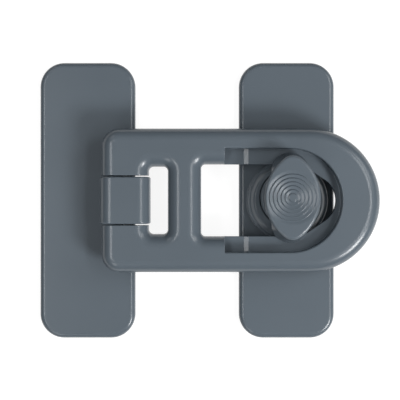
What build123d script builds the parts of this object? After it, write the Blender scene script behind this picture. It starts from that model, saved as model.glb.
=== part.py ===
"""Child safety lock: a hinged arm that drops over a turn knob, on two stick-on base plates.

Millimetres. X runs from the hinge side to the knob side, Y along the base plates, Z out of the
surface that the lock sticks to. The origin is the middle of the lock's footprint on that surface.
"""

import os
from math import atan2, cos, sin

from build123d import *

# Base plates and their adhesive pads
plate_length = 80.0
plate_width = 27.6
plate_corner = 7.0
plate_thickness = 2.6
plate_edge_round = 1.45
plate_pitch = 57.8
pad_thickness = 1.0
pad_inset = 0.9

# Arm: outline, levels and the two openings in it
arm_width = 40.4
arm_thickness = 6.0
arm_lift = 5.4
arm_corner = 5.0
arm_top_round = 3.4
arm_foot_break = 0.5
arm_overhang = 25.4
bar_width = 13.2
window_round = 3.7
hinge_window_width = 5.4
hinge_window_length = 19.0
hinge_window_corner = 1.35
crossbar_width = 9.4
slot_corner = 1.2

# Recess in the arm's top, around the knob, and the nose at the end of the slot
rim_width = 5.7
recess_run = 18.3
ledge_width = 4.35
ledge_thickness = 2.2
dip_depth = 0.4
dip_length = 5.5
dip_run = 1.4
dip_round = 1.2
nose_ledge = 1.2
nose_radius = 6.85
nose_shoulder = 3.7
recess_edge_round = 0.4

# Groove that cores the arm's underside, outside the recess
core_wall = 1.9
core_depth = 3.4

# Hinge: knuckle on the left plate and the pin through it
pin_offset = 11.6
pin_radius = 1.25
pin_height = 2.4
pin_clearance = 0.05
pin_fit = 0.01
pin_bite = 7.0
pin_recess = 0.6
pin_chamfer = 0.25
knuckle_width = 13.2
knuckle_gap = 0.38
knuckle_proud = 0.45
knuckle_edge_break = 0.3
knuckle_toe = 1.4

# Boss on the right plate, and the cup that the knob turns in
boss_radius = 11.6
boss_shoulder_width = 0.8
boss_shoulder_height = 2.6
boss_slope_width = 1.1
boss_height = 4.3
boss_edge_break = 0.25
cup_wall = 0.75
cup_depth = 1.6
cup_web = 2.0
cup_clearance = 0.3

# Knob: flange in the cup, neck, lock bar and grip
knob_rise = 0.75
flange_lift = 0.1
flange_height = 2.4
flange_edge_break = 0.5
neck_radius = 5.0
bar_clearance = 0.3
lock_bar_end_gap = 1.9
lock_bar_width = 10.6
lock_bar_side_bow = 0.1
lock_bar_thickness = 2.5
grip_height = 8.0
grip_length = 23.0
grip_width = 15.2
grip_tip_radius = 3.6
grip_cap = 1.4
grip_edge_round = 0.8

# Ringed thumb rest on the grip
ring_count = 6
ring_pitch = 1.05
ring_depth = 0.26
ring_riser = 0.15

# Stop between the knob and its cup
knob_turn = 90.0
stop_radius = 5.9
stop_pin_radius = 0.8
stop_pin_angle = 45.0
stop_depth = 1.0
stop_clearance = 0.15

# Spindle, with the screw and washer that hold the knob from below
spindle_radius = 2.6
spindle_clearance = 0.08
screw_radius = 1.0
screw_length = 6.0
screw_head_radius = 2.1
screw_head_height = 0.7
screw_slot_width = 0.6
screw_slot_depth = 0.35
screw_fit = 0.01
washer_radius = 4.3
washer_thickness = 0.6
washer_pocket_clearance = 0.4

# Places worked out from the sizes above
overall_length = plate_width / 2 + plate_pitch + arm_overhang
hinge_plate_x = plate_width / 2 - overall_length / 2
strike_plate_x = hinge_plate_x + plate_pitch
pin_x = hinge_plate_x + pin_offset
arm_end_x = strike_plate_x + arm_overhang
arm_round_x = arm_end_x - arm_width / 2
bar_left = pin_x - bar_width / 2
bar_right = pin_x + bar_width / 2
crossbar_left = bar_right + hinge_window_width
slot_left = crossbar_left + crossbar_width
plate_top = pad_thickness + plate_thickness
arm_bottom = plate_top + arm_lift
arm_top = arm_bottom + arm_thickness
pin_z = arm_bottom + pin_height
ledge_top = arm_bottom + ledge_thickness
dip_floor = ledge_top - dip_depth
recess_left = strike_plate_x - recess_run
recess_radius = arm_width / 2 - rim_width
slot_width = 2 * (recess_radius - ledge_width)
nose_x = strike_plate_x + recess_radius - nose_ledge - nose_radius
boss_top = plate_top + boss_height
boss_shoulder_radius = boss_radius - boss_shoulder_width
boss_top_radius = boss_shoulder_radius - boss_slope_width
cup_radius = boss_top_radius - knob_rise - cup_wall
cup_floor = boss_top - cup_depth
web_bottom = cup_floor - cup_web
flange_radius = cup_radius - cup_clearance
flange_bottom = cup_floor + flange_lift
flange_top = flange_bottom + flange_height
lock_bar_length = 2 * (recess_radius - lock_bar_end_gap)
lock_bar_tip_radius = lock_bar_width / 2 - lock_bar_side_bow
lock_bar_bottom = ledge_top + bar_clearance
lock_bar_top = lock_bar_bottom + lock_bar_thickness
grip_top = lock_bar_top + grip_height
grip_shoulder = grip_top - grip_cap
spindle_bottom = web_bottom - flange_lift
washer_bottom = spindle_bottom - washer_thickness
boss_axis = Axis((strike_plate_x, 0, 0), (0, 0, 1))
knob_axis = Axis((strike_plate_x, knob_rise, 0), (0, 0, 1))
knob_spot = Location((strike_plate_x, knob_rise, 0))
knob_section = Plane.XZ.offset(-knob_rise)


def pointed_oval(length, width, tip_radius):
    """Outline along Y with two long side arcs that run into small tip arcs."""
    tip_y = length / 2 - tip_radius
    side_in = (tip_y**2 - (width / 2 - tip_radius) ** 2) / (width - 2 * tip_radius)
    turn = atan2(tip_y, side_in)
    side_radius = width / 2 + side_in
    join_x = side_radius * cos(turn) - side_in
    join_y = side_radius * sin(turn)
    with BuildSketch(mode=Mode.PRIVATE) as outline:
        with BuildLine():
            ThreePointArc((join_x, -join_y), (width / 2, 0), (join_x, join_y))
            ThreePointArc((join_x, join_y), (0, length / 2), (-join_x, join_y))
            ThreePointArc((-join_x, join_y), (-width / 2, 0), (-join_x, -join_y))
            ThreePointArc((-join_x, -join_y), (0, -length / 2), (join_x, -join_y))
        make_face()
    return outline.sketch


def arm_outline(inset):
    """The arm's plan: square at the hinge end, round at the knob end, shrunk by an inset."""
    half = arm_width / 2 - inset
    left = bar_left + inset
    with BuildSketch(mode=Mode.PRIVATE) as outline:
        with BuildLine():
            Polyline((arm_round_x, -half), (left, -half), (left, half), (arm_round_x, half))
            ThreePointArc((arm_round_x, half), (arm_round_x + half, 0), (arm_round_x, -half))
        make_face()
        fillet(outline.vertices().group_by(Axis.X)[0], arm_corner - inset)
    return outline.sketch


def recess_outline(outset):
    """The recess's plan: open to the left, round at the knob end, grown by an outset."""
    half = recess_radius + outset
    left = recess_left - outset
    with BuildSketch(mode=Mode.PRIVATE) as outline:
        with Locations((left, 0)):
            Rectangle(strike_plate_x - left, 2 * half, align=(Align.MIN, Align.CENTER))
        with Locations((strike_plate_x, 0)):
            Circle(half)
    return outline.sketch


# Adhesive foam pads, one under each plate
with BuildPart() as hinge_base_pad:
    with BuildSketch():
        with Locations((hinge_plate_x, 0)):
            RectangleRounded(
                plate_width - 2 * pad_inset, plate_length - 2 * pad_inset, plate_corner - pad_inset
            )
    extrude(amount=pad_thickness)

with BuildPart() as strike_base_pad:
    with BuildSketch():
        with Locations((strike_plate_x, 0)):
            RectangleRounded(
                plate_width - 2 * pad_inset, plate_length - 2 * pad_inset, plate_corner - pad_inset
            )
    extrude(amount=pad_thickness)

# Hinge base: plate with the knuckle, one moulding that leans out over the plate's edge
knuckle_left = bar_left - knuckle_proud
knuckle_right = bar_right + knuckle_proud
knuckle_toe_x = hinge_plate_x + plate_width / 2 - knuckle_toe
with BuildPart() as hinge_base:
    with BuildSketch(Plane.XY.offset(pad_thickness)):
        with Locations((hinge_plate_x, 0)):
            RectangleRounded(plate_width, plate_length, plate_corner)
    extrude(amount=plate_thickness)
    fillet(hinge_base.edges().group_by(Axis.Z)[-1], plate_edge_round)
    with BuildSketch(Plane.XZ) as knuckle_profile:
        with BuildLine():
            Polyline(
                (knuckle_left, plate_top - plate_edge_round),
                (knuckle_left, arm_top),
                (knuckle_right, arm_top),
                (knuckle_right, arm_bottom),
                (knuckle_toe_x, plate_top),
                (knuckle_toe_x, plate_top - plate_edge_round),
                close=True,
            )
        make_face()
        fillet(knuckle_profile.vertices().group_by(Axis.Y)[-1], arm_top_round)
    extrude(amount=knuckle_width / 2, both=True)
    knuckle_sides = hinge_base.faces().filter_by(Axis.Y).filter_by(
        lambda face: face.bounding_box().max.Z > arm_bottom
    )
    knuckle_rim = knuckle_sides.edges().filter_by_position(Axis.Z, arm_bottom, arm_top)
    chamfer(knuckle_rim, knuckle_edge_break)
    with BuildSketch(Plane.XZ):
        with Locations((pin_x, pin_z)):
            Circle(pin_radius + pin_clearance)
    extrude(amount=knuckle_width, both=True, mode=Mode.SUBTRACT)

# Hinge pin, pushed in from one side of the arm and blind in the other
pin_far_y = knuckle_width / 2 + knuckle_gap + pin_bite
pin_near_y = -arm_width / 2 + pin_recess
with BuildPart() as hinge_pin:
    with BuildSketch(Plane.XZ.offset(-pin_far_y)):
        with Locations((pin_x, pin_z)):
            Circle(pin_radius)
    extrude(amount=pin_far_y - pin_near_y)
    chamfer(hinge_pin.edges().filter_by(GeomType.CIRCLE), pin_chamfer)

# Recess in the arm: a dipped start, a ramp up to the ledge around the slot, and a rounded rim
with BuildPart() as recess:
    with BuildSketch(Plane.XZ) as recess_profile:
        with BuildLine():
            Polyline(
                (recess_left, dip_floor),
                (recess_left + dip_length, dip_floor),
                (recess_left + dip_length + dip_run, ledge_top),
                (arm_end_x, ledge_top),
                (arm_end_x, arm_top + ledge_thickness),
                (recess_left, arm_top + ledge_thickness),
                close=True,
            )
        make_face()
        ramp_ends = recess_profile.vertices().filter_by_position(
            Axis.X, recess_left + dip_length, recess_left + dip_length + dip_run
        )
        fillet(ramp_ends, dip_round)
    extrude(amount=arm_width, both=True)
    with BuildSketch():
        add(recess_outline(0))
    extrude(amount=arm_top + 2 * ledge_thickness, mode=Mode.INTERSECT)
    with BuildSketch(Plane.XY.offset(arm_top)):
        with Locations((recess_left, 0)):
            Rectangle(arm_end_x - recess_left, arm_width, align=(Align.MIN, Align.CENTER))
    extrude(amount=ledge_thickness)
    recess_rim = recess.edges().filter_by_position(Axis.Z, arm_top, arm_top).filter_by_position(
        Axis.X, recess_left + recess_edge_round, strike_plate_x + recess_radius
    )
    fillet(recess_rim.filter_by_position(Axis.Y, -recess_radius, recess_radius), recess_edge_round)

# Arm: one moulding with the hinge window, the slot, the recess and the cored underside
with BuildPart() as arm:
    with BuildSketch(Plane.XY.offset(arm_bottom)):
        add(arm_outline(0))
    extrude(amount=arm_thickness)
    fillet(arm.edges().group_by(Axis.Z)[-1], arm_top_round)
    chamfer(arm.edges().group_by(Axis.Z)[0], arm_foot_break)
    with BuildSketch(Plane.XY.offset(arm_bottom)):
        with Locations((slot_left, 0)):
            RectangleRounded(
                strike_plate_x - window_round - slot_left,
                slot_width,
                slot_corner,
                align=(Align.MIN, Align.CENTER),
            )
        with Locations((bar_right + hinge_window_width / 2, 0)):
            RectangleRounded(hinge_window_width, hinge_window_length, hinge_window_corner)
    extrude(amount=arm_thickness, mode=Mode.SUBTRACT)
    rim = arm.faces().sort_by(Axis.Z)[-1]
    fillet(rim.inner_wires().edges(), window_round)
    add(recess.part, mode=Mode.SUBTRACT)
    with BuildSketch(Plane.XY.offset(arm_bottom)):
        with BuildSketch(mode=Mode.PRIVATE) as slot:
            with Locations((slot_left, 0)):
                Rectangle(
                    strike_plate_x + nose_shoulder - slot_left,
                    slot_width,
                    align=(Align.MIN, Align.CENTER),
                )
            fillet(slot.vertices().group_by(Axis.X)[0], slot_corner)
            with Locations((nose_x, 0)):
                Circle(nose_radius)
            make_hull()
        add(slot.sketch)
    extrude(amount=arm_thickness, mode=Mode.SUBTRACT)
    with BuildSketch(Plane.XY.offset(arm_bottom)):
        with Locations((pin_x, 0)):
            Rectangle(bar_width + 2 * knuckle_proud, knuckle_width + 2 * knuckle_gap)
    extrude(amount=arm_thickness, mode=Mode.SUBTRACT)
    with BuildSketch(Plane.XZ.offset(arm_width / 2)):
        with Locations((pin_x, pin_z)):
            Circle(pin_radius + pin_fit)
    extrude(amount=-(arm_width / 2 + pin_far_y), mode=Mode.SUBTRACT)
    with BuildSketch(Plane.XY.offset(arm_bottom)):
        add(arm_outline(core_wall))
        add(recess_outline(core_wall), mode=Mode.SUBTRACT)
        with Locations((bar_left, 0)):
            Rectangle(
                recess_left - bar_left, arm_width, align=(Align.MIN, Align.CENTER), mode=Mode.SUBTRACT
            )
    extrude(amount=core_depth, mode=Mode.SUBTRACT)

# Strike base: plate with a stepped boss that holds the knob's cup, one moulding
with BuildPart() as strike_base:
    with BuildSketch(Plane.XY.offset(pad_thickness)):
        with Locations((strike_plate_x, 0)):
            RectangleRounded(plate_width, plate_length, plate_corner)
    extrude(amount=plate_thickness)
    fillet(strike_base.edges().group_by(Axis.Z)[-1], plate_edge_round)
    with BuildSketch(Plane.XZ) as boss_profile:
        with BuildLine():
            Polyline(
                (strike_plate_x, plate_top - plate_edge_round),
                (strike_plate_x + boss_radius, plate_top - plate_edge_round),
                (strike_plate_x + boss_radius, plate_top + boss_shoulder_height),
                (strike_plate_x + boss_shoulder_radius, plate_top + boss_shoulder_height),
                (strike_plate_x + boss_top_radius, boss_top),
                (strike_plate_x, boss_top),
                close=True,
            )
        make_face()
        boss_corners = boss_profile.vertices().filter_by_position(Axis.Y, plate_top, boss_top)
        chamfer(boss_corners.sort_by(Axis.X)[1:], boss_edge_break)
    revolve(axis=boss_axis)
    with BuildSketch(Plane.XY.offset(cup_floor)):
        with Locations(knob_spot):
            Circle(cup_radius)
    extrude(amount=boss_height, mode=Mode.SUBTRACT)
    with BuildSketch(Plane.XY.offset(cup_floor)):
        with Locations(knob_spot):
            SlotArc(
                CenterArc((0, 0), stop_radius, stop_pin_angle, knob_turn),
                2 * (stop_pin_radius + stop_clearance),
            )
    extrude(amount=-stop_depth, mode=Mode.SUBTRACT)
    with BuildSketch(Plane.XY.offset(web_bottom)):
        with Locations(knob_spot):
            Circle(spindle_radius + spindle_clearance)
    extrude(amount=cup_web, mode=Mode.SUBTRACT)
    with BuildSketch(Plane.XY.offset(pad_thickness)):
        with Locations(knob_spot):
            Circle(washer_radius + washer_pocket_clearance)
    extrude(amount=web_bottom - pad_thickness, mode=Mode.SUBTRACT)

# Knob: spindle, flange, neck, lock bar and grip in one moulding, with rings cut for the thumb
with BuildPart() as knob:
    with BuildSketch(Plane.XY.offset(flange_bottom)):
        with Locations(knob_spot):
            Circle(flange_radius)
    extrude(amount=flange_height)
    chamfer(knob.edges().group_by(Axis.Z)[-1], flange_edge_break)
    with BuildSketch(Plane.XY.offset(spindle_bottom)):
        with Locations(knob_spot):
            Circle(spindle_radius)
    extrude(amount=flange_bottom - spindle_bottom)
    with BuildSketch(Plane.XY.offset(flange_bottom - stop_depth + stop_clearance)):
        with Locations(knob_spot):
            with PolarLocations(stop_radius, 1, stop_pin_angle):
                Circle(stop_pin_radius)
    extrude(amount=stop_depth)
    with BuildSketch(Plane.XY.offset(flange_top)):
        with Locations(knob_spot):
            Circle(neck_radius)
    extrude(amount=lock_bar_bottom - flange_top)
    with BuildSketch(Plane.XY.offset(lock_bar_bottom)):
        with Locations(knob_spot):
            add(pointed_oval(lock_bar_length, lock_bar_width, lock_bar_tip_radius))
    extrude(amount=lock_bar_thickness)
    with BuildSketch(Plane.XY.offset(lock_bar_top)):
        with Locations(knob_spot):
            add(pointed_oval(lock_bar_length, lock_bar_width, lock_bar_tip_radius))
    with BuildSketch(Plane.XY.offset(grip_shoulder)):
        with Locations(knob_spot):
            add(pointed_oval(grip_length, grip_width, grip_tip_radius))
    loft(ruled=True)
    with BuildSketch(Plane.XY.offset(grip_shoulder)):
        with Locations(knob_spot):
            add(pointed_oval(grip_length, grip_width, grip_tip_radius))
    extrude(amount=grip_cap)
    fillet(knob.edges().group_by(Axis.Z)[-1], grip_edge_round)
    ring_edge_x = strike_plate_x + (ring_count + 1) * ring_pitch
    ring_points = [(ring_edge_x, grip_top)]
    for ring in range(ring_count, 0, -1):
        ridge_x = strike_plate_x + ring * ring_pitch
        ring_points.append((ridge_x + ring_riser, grip_top - ring_depth))
        ring_points.append((ridge_x, grip_top))
    ring_points.append((strike_plate_x + ring_pitch, grip_top + ring_depth))
    ring_points.append((ring_edge_x, grip_top + ring_depth))
    with BuildSketch(knob_section):
        with BuildLine():
            Polyline(*ring_points, close=True)
        make_face()
    revolve(axis=knob_axis, mode=Mode.SUBTRACT)
    with BuildSketch(Plane.XY.offset(spindle_bottom)):
        with Locations(knob_spot):
            Circle(screw_radius + screw_fit)
    extrude(amount=screw_length, mode=Mode.SUBTRACT)

# Washer that keeps the spindle from lifting out of the web
with BuildPart() as knob_washer:
    with BuildSketch(Plane.XY.offset(washer_bottom)):
        with Locations(knob_spot):
            Circle(washer_radius)
            Circle(screw_radius + screw_fit, mode=Mode.SUBTRACT)
    extrude(amount=washer_thickness)

# Screw, driven up through the washer into the spindle, with a slotted head
with BuildPart() as knob_screw:
    with BuildSketch(Plane.XY.offset(washer_bottom - screw_head_height)):
        with Locations(knob_spot):
            Circle(screw_head_radius)
    extrude(amount=screw_head_height)
    with BuildSketch(Plane.XY.offset(washer_bottom)):
        with Locations(knob_spot):
            Circle(screw_radius)
    extrude(amount=screw_length)
    with BuildSketch(Plane.XY.offset(washer_bottom - screw_head_height)):
        with Locations(knob_spot):
            Rectangle(2 * screw_head_radius, screw_slot_width)
    extrude(amount=screw_slot_depth, mode=Mode.SUBTRACT)

pieces = {
    "hinge_base_pad": hinge_base_pad,
    "hinge_base": hinge_base,
    "hinge_pin": hinge_pin,
    "arm": arm,
    "strike_base_pad": strike_base_pad,
    "strike_base": strike_base,
    "knob": knob,
    "knob_washer": knob_washer,
    "knob_screw": knob_screw,
}
os.makedirs("parts", exist_ok=True)
for name, piece in pieces.items():
    piece.part.label = name
    export_step(piece.part, f"parts/{name}.step")
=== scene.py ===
"""Looks of the child safety lock: camera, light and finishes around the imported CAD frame."""

from math import cos, radians, sin

import bpy
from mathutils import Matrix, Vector


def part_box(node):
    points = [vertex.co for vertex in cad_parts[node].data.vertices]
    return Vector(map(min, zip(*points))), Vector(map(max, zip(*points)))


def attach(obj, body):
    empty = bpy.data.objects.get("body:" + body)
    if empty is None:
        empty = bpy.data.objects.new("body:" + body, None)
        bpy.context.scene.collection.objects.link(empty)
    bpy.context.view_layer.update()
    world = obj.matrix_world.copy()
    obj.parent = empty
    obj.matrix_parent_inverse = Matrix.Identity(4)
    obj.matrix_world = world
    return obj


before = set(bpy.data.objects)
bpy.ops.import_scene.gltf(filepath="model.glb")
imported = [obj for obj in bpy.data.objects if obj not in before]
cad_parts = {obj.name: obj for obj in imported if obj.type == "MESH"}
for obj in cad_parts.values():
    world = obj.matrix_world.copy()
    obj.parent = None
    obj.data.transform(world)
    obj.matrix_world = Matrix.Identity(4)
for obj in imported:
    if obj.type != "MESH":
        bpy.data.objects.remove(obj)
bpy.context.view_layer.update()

# Camera: straight above the lock, with the hinge plate on the left and the knob plate on the
# right. The view's middle lies a little to the hinge side of the lock's middle.
view_middle = (-0.00204, 0.0001)
view_distance = 0.270
view_width = 0.116
view_near = 0.01
sensor_width = 36.0
plate_thickness = 0.0026
plate_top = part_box("strike_base_pad")[1][2] + plate_thickness
camera_data = bpy.data.cameras.new("camera")
camera_data.sensor_width = sensor_width
camera_data.lens = sensor_width * view_distance / view_width
camera_data.clip_start = view_near
camera = bpy.data.objects.new("camera", camera_data)
camera.location = (view_middle[0], view_middle[1], plate_top + view_distance)
bpy.context.scene.collection.objects.link(camera)
bpy.context.scene.camera = camera
bpy.context.scene.view_settings.view_transform = "Standard"


# Floor: a large plain white sheet that the adhesive pads stand on. Part of its white is a glow
# that shows to the camera, in gloss and through glass, but lights nothing. So the lock's shadow
# on it stays pale.
floor_size = 3.0
floor_drop = 0.00005
floor_glow = 0.90
floor_white = (0.25, 0.25, 0.25, 1)
floor_bounce = (0.12, 0.12, 0.12, 1)
bpy.ops.mesh.primitive_plane_add(size=floor_size, location=(0, 0, -floor_drop))
floor = bpy.context.object
floor.name = "floor"
floor_finish = bpy.data.materials.new("floor_white")
floor_finish.use_nodes = True
floor_nodes = floor_finish.node_tree.nodes
floor_links = floor_finish.node_tree.links
floor_nodes.clear()
floor_output = floor_nodes.new("ShaderNodeOutputMaterial")
floor_seen = floor_nodes.new("ShaderNodeAddShader")
floor_light = floor_nodes.new("ShaderNodeEmission")
floor_light.inputs["Strength"].default_value = floor_glow
floor_paint = floor_nodes.new("ShaderNodeBsdfDiffuse")
floor_paint.inputs["Color"].default_value = floor_white
floor_room = floor_nodes.new("ShaderNodeBsdfDiffuse")
floor_room.inputs["Color"].default_value = floor_bounce
floor_mix = floor_nodes.new("ShaderNodeMixShader")
floor_ray = floor_nodes.new("ShaderNodeLightPath")
floor_or_gloss = floor_nodes.new("ShaderNodeMath")
floor_or_gloss.operation = "MAXIMUM"
floor_or_glass = floor_nodes.new("ShaderNodeMath")
floor_or_glass.operation = "MAXIMUM"
floor_links.new(floor_light.outputs[0], floor_seen.inputs[0])
floor_links.new(floor_paint.outputs[0], floor_seen.inputs[1])
floor_links.new(floor_ray.outputs["Is Camera Ray"], floor_or_gloss.inputs[0])
floor_links.new(floor_ray.outputs["Is Glossy Ray"], floor_or_gloss.inputs[1])
floor_links.new(floor_or_gloss.outputs[0], floor_or_glass.inputs[0])
floor_links.new(floor_ray.outputs["Is Transmission Ray"], floor_or_glass.inputs[1])
floor_links.new(floor_or_glass.outputs[0], floor_mix.inputs[0])
floor_links.new(floor_room.outputs[0], floor_mix.inputs[1])
floor_links.new(floor_seen.outputs[0], floor_mix.inputs[2])
floor_links.new(floor_mix.outputs[0], floor_output.inputs["Surface"])
floor.data.materials.append(floor_finish)


# Room: hardly any light of its own, and white behind everything that the camera sees past the
# floor. The lamps alone light the lock.
room_level = (0.012, 0.012, 0.012, 1)
room_backdrop = (1, 1, 1, 1)
world = bpy.data.worlds.new("room")
bpy.context.scene.world = world
world.use_nodes = True
room_nodes = world.node_tree.nodes
room_links = world.node_tree.links
room_nodes.clear()
room_output = room_nodes.new("ShaderNodeOutputWorld")
room_mix = room_nodes.new("ShaderNodeMixShader")
room_ray = room_nodes.new("ShaderNodeLightPath")
room_air = room_nodes.new("ShaderNodeBackground")
room_air.inputs["Color"].default_value = room_level
room_white = room_nodes.new("ShaderNodeBackground")
room_white.inputs["Color"].default_value = room_backdrop
room_links.new(room_ray.outputs["Is Camera Ray"], room_mix.inputs[0])
room_links.new(room_air.outputs[0], room_mix.inputs[1])
room_links.new(room_white.outputs[0], room_mix.inputs[2])
room_links.new(room_mix.outputs[0], room_output.inputs["Surface"])


# Lamps: softboxes that stand around the lock, and a wide, dim sheet above it. The two strips
# lie along the base plates, and draw the bright lines on the rounded edges. Each lamp is named
# for its place, then come its bearing from +X and its angle from straight up, its width and
# height, and its power.
lamp_distance = 0.60
lamp_aim = Vector((0.0, 0.0, 0.01))
softboxes = (
    ("top_sheet", 0, 0, 1.00, 1.00, 0.55),
    ("right_front", -37, 49, 0.17, 0.17, 2.25),
    ("right_back", 25, 50, 0.20, 0.20, 0.45),
    ("right_strip", 0, 29, 0.36, 0.08, 0.74),
    ("left_strip", 182, 26, 0.34, 0.09, 0.70),
    ("left_front", 240, 50, 0.20, 0.20, 0.40),
    ("left_back", 130, 58, 0.20, 0.20, 0.16),
)
for name, bearing, tilt, width, height, power in softboxes:
    lamp_data = bpy.data.lights.new(name, "AREA")
    lamp_data.shape = "RECTANGLE"
    lamp_data.size = width
    lamp_data.size_y = height
    lamp_data.energy = power
    lamp = bpy.data.objects.new(name, lamp_data)
    way = Vector(
        (
            sin(radians(tilt)) * cos(radians(bearing)),
            sin(radians(tilt)) * sin(radians(bearing)),
            cos(radians(tilt)),
        )
    )
    lamp.location = lamp_aim + lamp_distance * way
    lamp.rotation_euler = way.to_track_quat("Z", "Y").to_euler()
    bpy.context.scene.collection.objects.link(lamp)


# Hinge base and strike base: two stick-on plates, the left one with the hinge knuckle and the
# right one with the stepped boss. Both are moulded in slate grey, with a fine satin grain from
# the tool, slight changes of gloss, and edges that handling has rubbed smoother.
slate = (0.112, 0.138, 0.163)
slate_change = 0.04
satin = (0.22, 0.27)
rubbed_satin = 0.18
rubbed_tint = 1.25
grain_scale = 4500.0
grain_detail = 2.0
grain_depth = 0.000015
grain_strength = 0.15
cloud_scale = 60.0
cloud_detail = 4.0
edge_reach = 0.00035
edge_samples = 8
edge_turn = (0.99, 0.80)


def shaded(color, level):
    """A colour with its brightness multiplied, as a socket takes it."""
    return tuple(level * channel for channel in color) + (1,)


def moulded_plastic(name):
    """Slate grey satin plastic: fine grain, cloudy gloss, and rubbed, softened edges."""
    finish = bpy.data.materials.new(name)
    finish.use_nodes = True
    nodes = finish.node_tree.nodes
    links = finish.node_tree.links
    shader = nodes["Principled BSDF"]
    place = nodes.new("ShaderNodeTexCoord")
    cloud = nodes.new("ShaderNodeTexNoise")
    cloud.inputs["Scale"].default_value = cloud_scale
    cloud.inputs["Detail"].default_value = cloud_detail
    tint = nodes.new("ShaderNodeMix")
    tint.data_type = "RGBA"
    tint.inputs["A"].default_value = shaded(slate, 1 - slate_change)
    tint.inputs["B"].default_value = shaded(slate, 1 + slate_change)
    gloss = nodes.new("ShaderNodeMapRange")
    gloss.inputs["To Min"].default_value = satin[0]
    gloss.inputs["To Max"].default_value = satin[1]
    grain = nodes.new("ShaderNodeTexNoise")
    grain.inputs["Scale"].default_value = grain_scale
    grain.inputs["Detail"].default_value = grain_detail
    soften = nodes.new("ShaderNodeBevel")
    soften.samples = edge_samples
    soften.inputs["Radius"].default_value = edge_reach
    facing = nodes.new("ShaderNodeNewGeometry")
    turn = nodes.new("ShaderNodeVectorMath")
    turn.operation = "DOT_PRODUCT"
    edge = nodes.new("ShaderNodeMapRange")
    edge.inputs["From Min"].default_value = edge_turn[0]
    edge.inputs["From Max"].default_value = edge_turn[1]
    rub_tint = nodes.new("ShaderNodeMix")
    rub_tint.data_type = "RGBA"
    rub_tint.inputs["B"].default_value = shaded(slate, rubbed_tint)
    rub_gloss = nodes.new("ShaderNodeMix")
    rub_gloss.inputs["B"].default_value = rubbed_satin
    bump = nodes.new("ShaderNodeBump")
    bump.inputs["Strength"].default_value = grain_strength
    bump.inputs["Distance"].default_value = grain_depth
    links.new(place.outputs["Object"], cloud.inputs["Vector"])
    links.new(place.outputs["Object"], grain.inputs["Vector"])
    links.new(cloud.outputs["Fac"], tint.inputs["Factor"])
    links.new(cloud.outputs["Fac"], gloss.inputs["Value"])
    links.new(soften.outputs["Normal"], turn.inputs[0])
    links.new(facing.outputs["Normal"], turn.inputs[1])
    links.new(turn.outputs["Value"], edge.inputs["Value"])
    links.new(edge.outputs["Result"], rub_tint.inputs["Factor"])
    links.new(tint.outputs["Result"], rub_tint.inputs["A"])
    links.new(rub_tint.outputs["Result"], shader.inputs["Base Color"])
    links.new(edge.outputs["Result"], rub_gloss.inputs["Factor"])
    links.new(gloss.outputs["Result"], rub_gloss.inputs["A"])
    links.new(rub_gloss.outputs["Result"], shader.inputs["Roughness"])
    links.new(grain.outputs["Fac"], bump.inputs["Height"])
    links.new(soften.outputs["Normal"], bump.inputs["Normal"])
    links.new(bump.outputs["Normal"], shader.inputs["Normal"])
    return finish


def dress(node_name, finish):
    """Gives a CAD node its finish."""
    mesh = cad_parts[node_name].data
    mesh.materials.clear()
    mesh.materials.append(finish)


slate_plastic = moulded_plastic("slate_plastic")
dress("hinge_base", slate_plastic)
dress("strike_base", slate_plastic)


# Adhesive pads: a closed-cell acrylic foam pad under each plate, die-cut a little smaller than
# the plate, with fine cells in its cut edge and a tacky, slightly shiny face.
foam = (0.60, 0.61, 0.60)
foam_change = 0.08
foam_roughness = 0.62
foam_cell_scale = 2600.0
foam_cell_depth = 0.00006
foam_cell_strength = 0.5


def cellular_foam(name):
    """Pale foam with fine cells."""
    finish = bpy.data.materials.new(name)
    finish.use_nodes = True
    nodes = finish.node_tree.nodes
    links = finish.node_tree.links
    shader = nodes["Principled BSDF"]
    shader.inputs["Roughness"].default_value = foam_roughness
    place = nodes.new("ShaderNodeTexCoord")
    cells = nodes.new("ShaderNodeTexVoronoi")
    cells.inputs["Scale"].default_value = foam_cell_scale
    tint = nodes.new("ShaderNodeMix")
    tint.data_type = "RGBA"
    tint.inputs["A"].default_value = shaded(foam, 1 - foam_change)
    tint.inputs["B"].default_value = shaded(foam, 1 + foam_change)
    bump = nodes.new("ShaderNodeBump")
    bump.inputs["Strength"].default_value = foam_cell_strength
    bump.inputs["Distance"].default_value = foam_cell_depth
    links.new(place.outputs["Object"], cells.inputs["Vector"])
    links.new(cells.outputs["Distance"], tint.inputs["Factor"])
    links.new(tint.outputs["Result"], shader.inputs["Base Color"])
    links.new(cells.outputs["Distance"], bump.inputs["Height"])
    links.new(bump.outputs["Normal"], shader.inputs["Normal"])
    return finish


pad_foam = cellular_foam("pad_foam")
dress("hinge_base_pad", pad_foam)
dress("strike_base_pad", pad_foam)


# Arm: the long strap that drops over the knob, moulded in the same slate grey as the plates.
dress("arm", slate_plastic)


# Hinge pin: a drawn steel pin, pressed through the arm's two ears. It shows only in the thin
# gaps beside the knuckle and at the arm's edge, and its near-black colour is painted shade that
# makes those gaps read dark.
# Near-black steel colour: painted shade for the thin gaps around the pin.
pin_painted_shade_color = (0.080, 0.082, 0.086, 1)
pin_roughness = 0.45
pin_stretch = (1.0, 0.05, 1.0)
drawn_line_scale = 900.0
drawn_line_detail = 3.0
drawn_line_depth = 0.00001
drawn_line_strength = 0.2
drawn_gloss_change = 0.06


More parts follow.
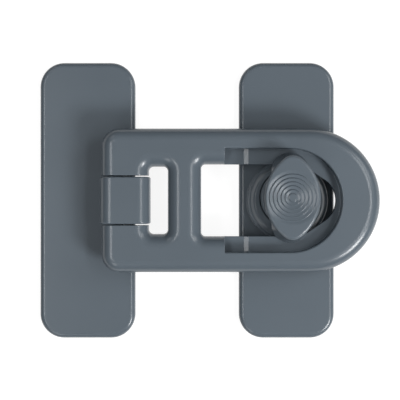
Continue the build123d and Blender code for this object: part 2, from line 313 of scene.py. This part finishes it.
def drawn_steel(name, color, roughness, stretch):
    """Steel with fine drawing lines along one way."""
    finish = bpy.data.materials.new(name)
    finish.use_nodes = True
    nodes = finish.node_tree.nodes
    links = finish.node_tree.links
    shader = nodes["Principled BSDF"]
    shader.inputs["Base Color"].default_value = color
    shader.inputs["Metallic"].default_value = 1.0
    place = nodes.new("ShaderNodeTexCoord")
    lay = nodes.new("ShaderNodeMapping")
    lay.inputs["Scale"].default_value = stretch
    lines = nodes.new("ShaderNodeTexNoise")
    lines.inputs["Scale"].default_value = drawn_line_scale
    lines.inputs["Detail"].default_value = drawn_line_detail
    gloss = nodes.new("ShaderNodeMapRange")
    gloss.inputs["To Min"].default_value = roughness - drawn_gloss_change
    gloss.inputs["To Max"].default_value = roughness + drawn_gloss_change
    bump = nodes.new("ShaderNodeBump")
    bump.inputs["Strength"].default_value = drawn_line_strength
    bump.inputs["Distance"].default_value = drawn_line_depth
    links.new(place.outputs["Object"], lay.inputs["Vector"])
    links.new(lay.outputs["Vector"], lines.inputs["Vector"])
    links.new(lines.outputs["Fac"], gloss.inputs["Value"])
    links.new(gloss.outputs["Result"], shader.inputs["Roughness"])
    links.new(lines.outputs["Fac"], bump.inputs["Height"])
    links.new(bump.outputs["Normal"], shader.inputs["Normal"])
    return finish


dress("hinge_pin", drawn_steel("pin_steel", pin_painted_shade_color, pin_roughness, pin_stretch))


# Knob: flange, lock bar and pointed grip in one moulding, in the same slate grey. The thumb
# rest on top is a set of rings, each a slope that ends in a small step.
dress("knob", slate_plastic)


# Ring lips: the rounded crest of each ring on the thumb rest, part of the knob's moulding. Its
# small round draws a fine bright line. A circle one metre in radius is placed for each ring and
# scaled to the ring's number times the pitch.
lip_count = 6
lip_first = 1.0
lip_pattern_radius = 1.0
lip_pitch = 0.00105
lip_radius = 0.00006
lip_sink = 0.00003
lip_sides = 8
lip_steps = 96
knob_low, knob_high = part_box("knob")
lip_middle = (
    (knob_low[0] + knob_high[0]) / 2,
    (knob_low[1] + knob_high[1]) / 2,
    knob_high[2] - lip_sink,
)
lip_tree = bpy.data.node_groups.new("ring_lips", "GeometryNodeTree")
lip_sockets = (
    ("Count", "NodeSocketInt", lip_count),
    ("Pitch", "NodeSocketFloat", lip_pitch),
    ("Radius", "NodeSocketFloat", lip_radius),
    ("Middle", "NodeSocketVector", lip_middle),
    ("Finish", "NodeSocketMaterial", slate_plastic),
)
lip_ids = {}
for socket_name, socket_type, _ in lip_sockets:
    socket = lip_tree.interface.new_socket(socket_name, in_out="INPUT", socket_type=socket_type)
    lip_ids[socket_name] = socket.identifier
lip_tree.interface.new_socket("Geometry", in_out="OUTPUT", socket_type="NodeSocketGeometry")
lip_given = lip_tree.nodes.new("NodeGroupInput")
lip_made = lip_tree.nodes.new("NodeGroupOutput")
lip_points = lip_tree.nodes.new("GeometryNodePoints")
lip_circle = lip_tree.nodes.new("GeometryNodeCurvePrimitiveCircle")
lip_circle.inputs["Resolution"].default_value = lip_steps
lip_circle.inputs["Radius"].default_value = lip_pattern_radius
lip_index = lip_tree.nodes.new("GeometryNodeInputIndex")
lip_number = lip_tree.nodes.new("ShaderNodeMath")
lip_number.operation = "ADD"
lip_number.inputs[1].default_value = lip_first
lip_size = lip_tree.nodes.new("ShaderNodeMath")
lip_size.operation = "MULTIPLY"
lip_rings = lip_tree.nodes.new("GeometryNodeInstanceOnPoints")
lip_paths = lip_tree.nodes.new("GeometryNodeRealizeInstances")
lip_profile = lip_tree.nodes.new("GeometryNodeCurvePrimitiveCircle")
lip_profile.inputs["Resolution"].default_value = lip_sides
lip_tube = lip_tree.nodes.new("GeometryNodeCurveToMesh")
lip_place = lip_tree.nodes.new("GeometryNodeTransform")
lip_smooth = lip_tree.nodes.new("GeometryNodeSetShadeSmooth")
lip_real = lip_tree.nodes.new("GeometryNodeRealizeInstances")
lip_finish = lip_tree.nodes.new("GeometryNodeSetMaterial")
lip_links = lip_tree.links
lip_links.new(lip_given.outputs["Count"], lip_points.inputs["Count"])
lip_links.new(lip_index.outputs[0], lip_number.inputs[0])
lip_links.new(lip_number.outputs[0], lip_size.inputs[0])
lip_links.new(lip_given.outputs["Pitch"], lip_size.inputs[1])
lip_links.new(lip_points.outputs[0], lip_rings.inputs["Points"])
lip_links.new(lip_circle.outputs["Curve"], lip_rings.inputs["Instance"])
lip_links.new(lip_size.outputs[0], lip_rings.inputs["Scale"])
lip_links.new(lip_rings.outputs["Instances"], lip_paths.inputs["Geometry"])
lip_links.new(lip_given.outputs["Radius"], lip_profile.inputs["Radius"])
lip_links.new(lip_paths.outputs["Geometry"], lip_tube.inputs["Curve"])
lip_links.new(lip_profile.outputs["Curve"], lip_tube.inputs["Profile Curve"])
lip_links.new(lip_tube.outputs["Mesh"], lip_place.inputs["Geometry"])
lip_links.new(lip_given.outputs["Middle"], lip_place.inputs["Translation"])
lip_links.new(lip_place.outputs["Geometry"], lip_smooth.inputs["Geometry"])
lip_links.new(lip_smooth.outputs["Geometry"], lip_real.inputs["Geometry"])
lip_links.new(lip_real.outputs["Geometry"], lip_finish.inputs["Geometry"])
lip_links.new(lip_given.outputs["Finish"], lip_finish.inputs["Material"])
lip_links.new(lip_finish.outputs["Geometry"], lip_made.inputs["Geometry"])
lip_holder = bpy.data.objects.new("lip_holder", bpy.data.meshes.new("lip_holder"))
bpy.context.scene.collection.objects.link(lip_holder)
lip_rule = lip_holder.modifiers.new("ring_lips", "NODES")
lip_rule.node_group = lip_tree
for socket_name, _, value in lip_sockets:
    lip_rule[lip_ids[socket_name]] = value
lip_mesh = bpy.data.meshes.new_from_object(
    lip_holder.evaluated_get(bpy.context.evaluated_depsgraph_get())
)
bpy.data.objects.remove(lip_holder)
ring_lips = bpy.data.objects.new("thumb_ring_lips", lip_mesh)
bpy.context.scene.collection.objects.link(ring_lips)
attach(ring_lips, "knob")


# Knob washer and knob screw: a stamped washer and a slotted screw of plated steel, under the
# strike plate, which hold the knob's spindle down in the boss.
plated_color = (0.56, 0.55, 0.53, 1)
plated_roughness = 0.30
plated_stretch = (1.0, 0.2, 1.0)
plated_steel = drawn_steel("plated_steel", plated_color, plated_roughness, plated_stretch)
dress("knob_washer", plated_steel)
dress("knob_screw", plated_steel)
